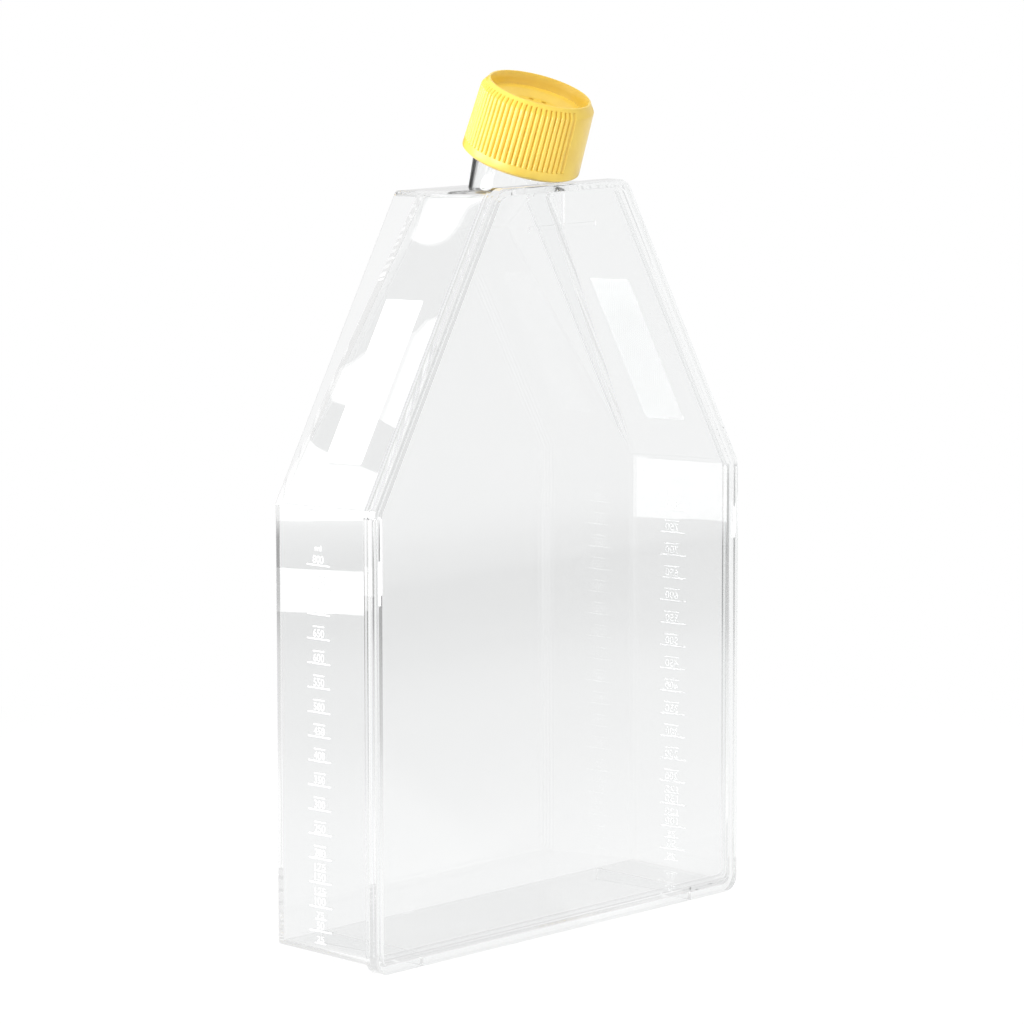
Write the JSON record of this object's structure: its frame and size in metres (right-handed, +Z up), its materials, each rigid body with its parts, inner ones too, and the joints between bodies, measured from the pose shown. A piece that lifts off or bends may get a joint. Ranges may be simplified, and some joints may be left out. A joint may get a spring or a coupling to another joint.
{
  "type": "cell culture flask",
  "caption": "Upright clear plastic flask with sloping shoulders, a canted neck and a ribbed vented screw cap.",
  "frame": {"origin": "bottom centre of the overall box: middle of the width, middle of the overall depth with the cap on, at the foot of the weld flange", "axes": "+Z up the flask's height, +X along its width, +Y from the cover plate to the growth surface at the back"},
  "size_m": [0.172, 0.0492, 0.2655],
  "materials": {
    "clear_body": "clear polystyrene, polished mould",
    "clear_cover": "clear polystyrene, polished mould",
    "cap": "opaque yellow polyethylene, satin",
    "membrane": "white gas-permeable membrane",
    "seal": "natural silicone ring"
  },
  "bodies": {
    "flask": {"flask_tray": "clear_body", "cover_plate": "clear_cover"},
    "seal": {"seal_ring": "seal"},
    "vent": {"vent_membrane": "membrane"},
    "cap": {"screw_cap": "cap"}
  },
  "joints": [
    {"name": "cap_lift_off", "type": "slide", "parent": "flask", "child": "seal", "axis": [0, -0.342, 0.9397], "range_m": [0, 0.03]},
    {"name": "cap_rise", "type": "slide", "parent": "seal", "child": "vent", "axis": [0, -0.342, 0.9397], "range_m": [0, 0.0051]},
    {"name": "cap_turn", "type": "hinge", "parent": "vent", "child": "cap", "pos_m": [0, -0.00077, 0.23781], "axis": [0, -0.342, 0.9397], "range_deg": [0, 450]}
  ],
  "couplings": [
    {"joint": "cap_rise", "follows": "cap_turn", "m_per_rad": 0.00063662}
  ]
}
